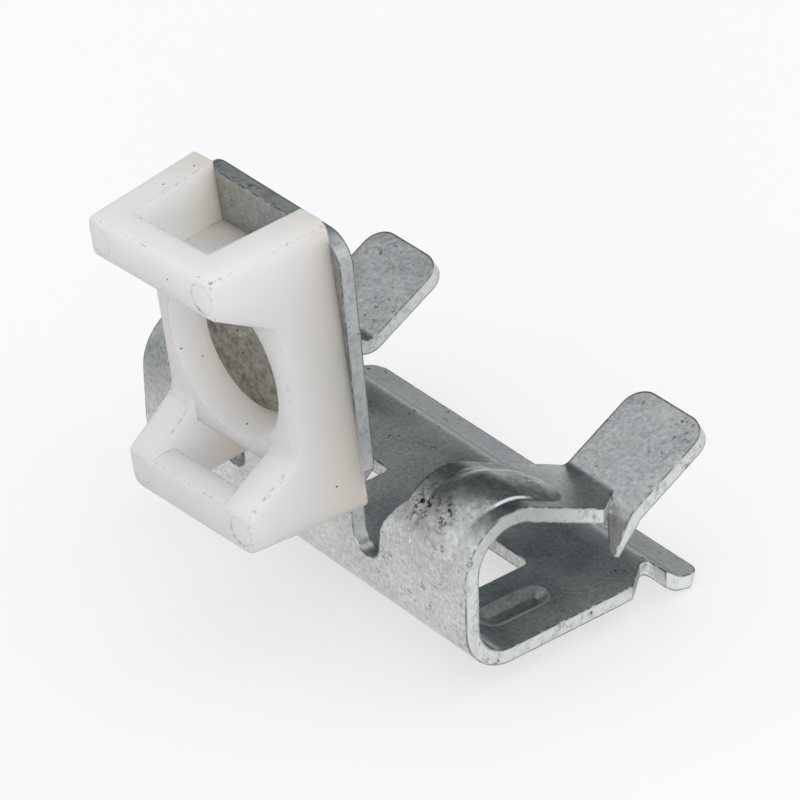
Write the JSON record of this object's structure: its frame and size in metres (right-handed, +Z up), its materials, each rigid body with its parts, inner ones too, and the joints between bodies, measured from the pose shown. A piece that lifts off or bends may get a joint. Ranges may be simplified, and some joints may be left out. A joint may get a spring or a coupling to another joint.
{
  "type": "girder cable tie mount",
  "caption": "Folded spring-steel clip that grips a girder flange, with an upright tab carrying a riveted nylon saddle for a cable tie.",
  "frame": {"origin": "on the base's upper face, where the flange rests, on the middle of the clip", "axes": "+X along the folds, +Y from the folded wall to the open mouth, +Z up from the base"},
  "size_m": [0.038, 0.0354, 0.0354],
  "materials": {
    "zinc_steel": "dull zinc coat over spring steel",
    "natural_nylon": "milky, slightly see-through",
    "rivet_steel": "dull"
  },
  "bodies": {
    "root": {"clip": "zinc_steel", "saddle": "natural_nylon", "rivet": "rivet_steel"}
  },
  "joints": []
}
